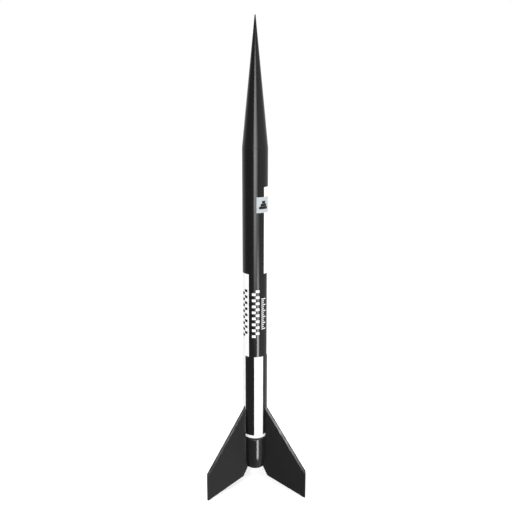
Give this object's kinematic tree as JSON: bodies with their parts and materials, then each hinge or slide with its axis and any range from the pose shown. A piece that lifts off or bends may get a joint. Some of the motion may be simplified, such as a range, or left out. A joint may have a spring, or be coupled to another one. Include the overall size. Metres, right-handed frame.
{
  "type": "model rocket",
  "caption": "Slender model rocket with a conical nose, black and white roll pattern, swept fins let into a boat-tailed motor housing, and a sprung motor hook.",
  "frame": {"origin": "centre of the motor tube's aft end", "axes": "+Z along the body to the nose; -Y is the side between the two front fins"},
  "size_m": [0.1376, 0.1191, 0.6433],
  "materials": {
    "black_plastic": "gloss",
    "white_tube": "gloss",
    "folded_paper": "matte",
    "parachute_film": "satin",
    "kraft_paper": "matte",
    "ring_fibre": "matte",
    "spring_steel": "satin",
    "fin_black": "satin",
    "lug_paper": "satin",
    "vinyl_black": "gloss",
    "vinyl_white": "gloss",
    "decal_grey": "satin",
    "decal_print": "satin"
  },
  "bodies": {
    "airframe": {"body_tube": "white_tube", "shock_cord_mount": "folded_paper", "tail_cone": "black_plastic", "motor_tube": "kraft_paper", "thrust_ring": "ring_fibre", "centering_ring_forward": "ring_fibre", "centering_ring_aft": "ring_fibre", "hook_band": "kraft_paper", "hook_anchor": "spring_steel", "fin_left": "fin_black", "fin_right": "fin_black", "fin_rear": "fin_black", "launch_lug_forward": "lug_paper", "launch_lug_aft": "lug_paper", "wrap_forward": "vinyl_black", "wrap_upper": "vinyl_black", "wrap_middle_front": "vinyl_black", "wrap_middle_back": "vinyl_black", "wrap_lower_left": "vinyl_black", "wrap_lower_right": "vinyl_black", "wrap_lower_back_right": "vinyl_black", "wrap_lower_back_left": "vinyl_black", "emblem_decal": "decal_grey", "emblem_mark": "decal_print", "scale_light": "vinyl_white", "scale_dark": "vinyl_black", "ticks_light": "vinyl_white"},
    "nose": {"nose_cone": "black_plastic", "nose_plug": "black_plastic"},
    "parachute": {"parachute": "parachute_film"},
    "hook_arm": {"hook_arm": "spring_steel"}
  },
  "joints": [
    {"name": "nose_pull", "type": "slide", "parent": "airframe", "child": "nose", "axis": [0, 0, 1], "range_m": [0, 0.18]},
    {"name": "parachute_eject", "type": "slide", "parent": "airframe", "child": "parachute", "axis": [0, 0, 1], "range_m": [0, 0.135]},
    {"name": "hook_flex", "type": "hinge", "parent": "airframe", "child": "hook_arm", "pos_m": [-0.00849, 0.0049, 0.04835], "axis": [0.5, 0.866, 0], "range_deg": [0, 2.4], "stiffness_Nm_per_rad": 2.3}
  ],
  "couplings": [
    {"joint": "parachute_eject", "follows": "nose_pull", "ratio": 0.75}
  ]
}
